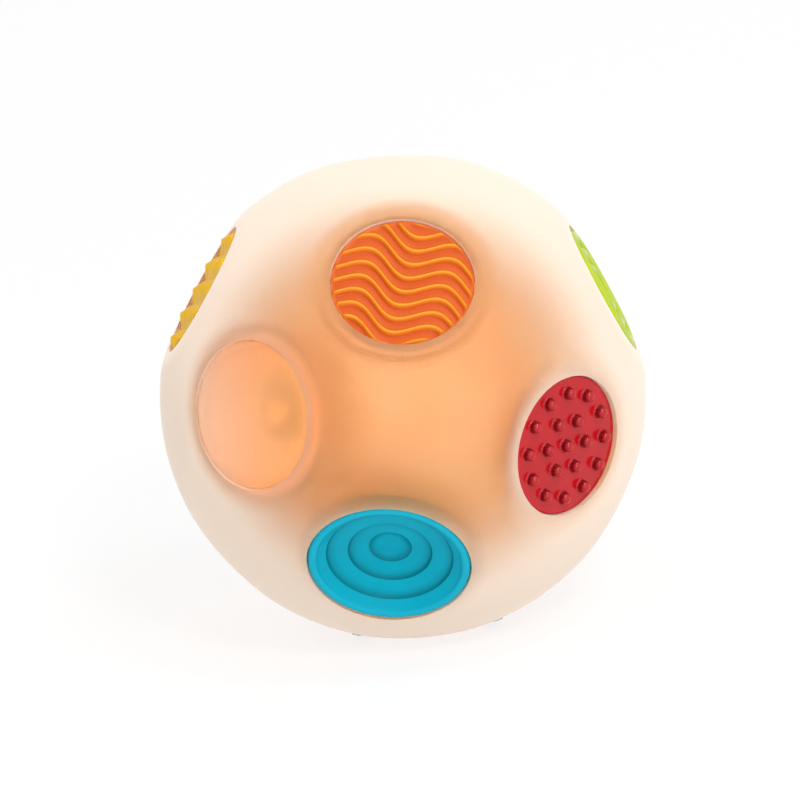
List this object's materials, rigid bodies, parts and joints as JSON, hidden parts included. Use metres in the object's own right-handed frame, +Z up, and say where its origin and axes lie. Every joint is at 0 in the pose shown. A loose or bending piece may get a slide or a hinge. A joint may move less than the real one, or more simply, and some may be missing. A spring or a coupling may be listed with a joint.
{
  "type": "light-up sensory ball",
  "caption": "Translucent baby ball that lights from inside, with soft textured pads set into flat facets and a dished push button over a battery-powered light core.",
  "frame": {"origin": "middle of the flat facet that the ball rests on", "axes": "+Z up through the ball, -Y towards the side that the picture shows, +X to the right of that view"},
  "size_m": [0.12, 0.12, 0.1162],
  "materials": {
    "frosted_plastic": "satin, translucent",
    "seal_rubber": "matte",
    "screw_steel": "zinc plated",
    "holder_plastic": "moulded",
    "contact_plate": "nickel plated",
    "spring_steel": "nickel plated",
    "cell_can": "plain jacket",
    "board_laminate": "solder mask",
    "diode_plastic": "clear lens",
    "diffuser_plastic": "frosted, translucent",
    "switch_plastic": "moulded",
    "lead_sleeve": "extruded",
    "orange_rubber": "satin",
    "blue_rubber": "satin",
    "red_rubber": "gloss",
    "yellow_rubber": "satin",
    "lime_rubber": "gloss"
  },
  "bodies": {
    "ball": {"body_shell": "frosted_plastic", "base_cap": "frosted_plastic", "seal_ring": "seal_rubber", "base_screws": "screw_steel", "battery_holder": "holder_plastic", "battery_cell_1": "cell_can", "battery_cell_2": "cell_can", "battery_cell_3": "cell_can", "top_contacts": "contact_plate", "return_strip": "contact_plate", "light_board": "board_laminate", "light_diodes": "diode_plastic", "lead_socket": "holder_plastic", "light_diffuser": "diffuser_plastic", "switch_carrier": "holder_plastic", "switch_board": "board_laminate", "switch_housing": "switch_plastic", "switch_leads": "lead_sleeve", "wave_pad": "orange_rubber", "bowl_pad": "blue_rubber", "nub_pad": "red_rubber", "pyramid_pad": "yellow_rubber", "ring_pad": "lime_rubber", "rear_wave_pad": "orange_rubber", "rear_bowl_pad": "blue_rubber", "rear_nub_pad": "red_rubber"},
    "button": {"light_button": "frosted_plastic"},
    "plunger": {"switch_plunger": "switch_plastic"},
    "door": {"battery_door": "frosted_plastic", "door_contacts": "contact_plate", "door_springs": "spring_steel"},
    "door_fastener": {"door_screw": "screw_steel"}
  },
  "joints": [
    {"name": "button_press", "type": "slide", "parent": "ball", "child": "button", "axis": [0.6545, 0.7269, -0.2079], "range_m": [0, 0.0015], "stiffness_N_per_m": 400, "springref_m": -0.003},
    {"name": "plunger_press", "type": "slide", "parent": "ball", "child": "plunger", "axis": [0.6545, 0.7269, -0.2079], "range_m": [0, 0.00045]},
    {"name": "door_removal", "type": "slide", "parent": "ball", "child": "door", "axis": [0, 0, -1], "range_m": [0, 0.03]},
    {"name": "door_screw_turn", "type": "hinge", "parent": "door", "child": "door_fastener", "pos_m": [0, 0, 0.003], "axis": [0, 0, 1], "continuous": true}
  ],
  "couplings": [
    {"joint": "plunger_press", "follows": "button_press", "ratio": 0.3}
  ]
}
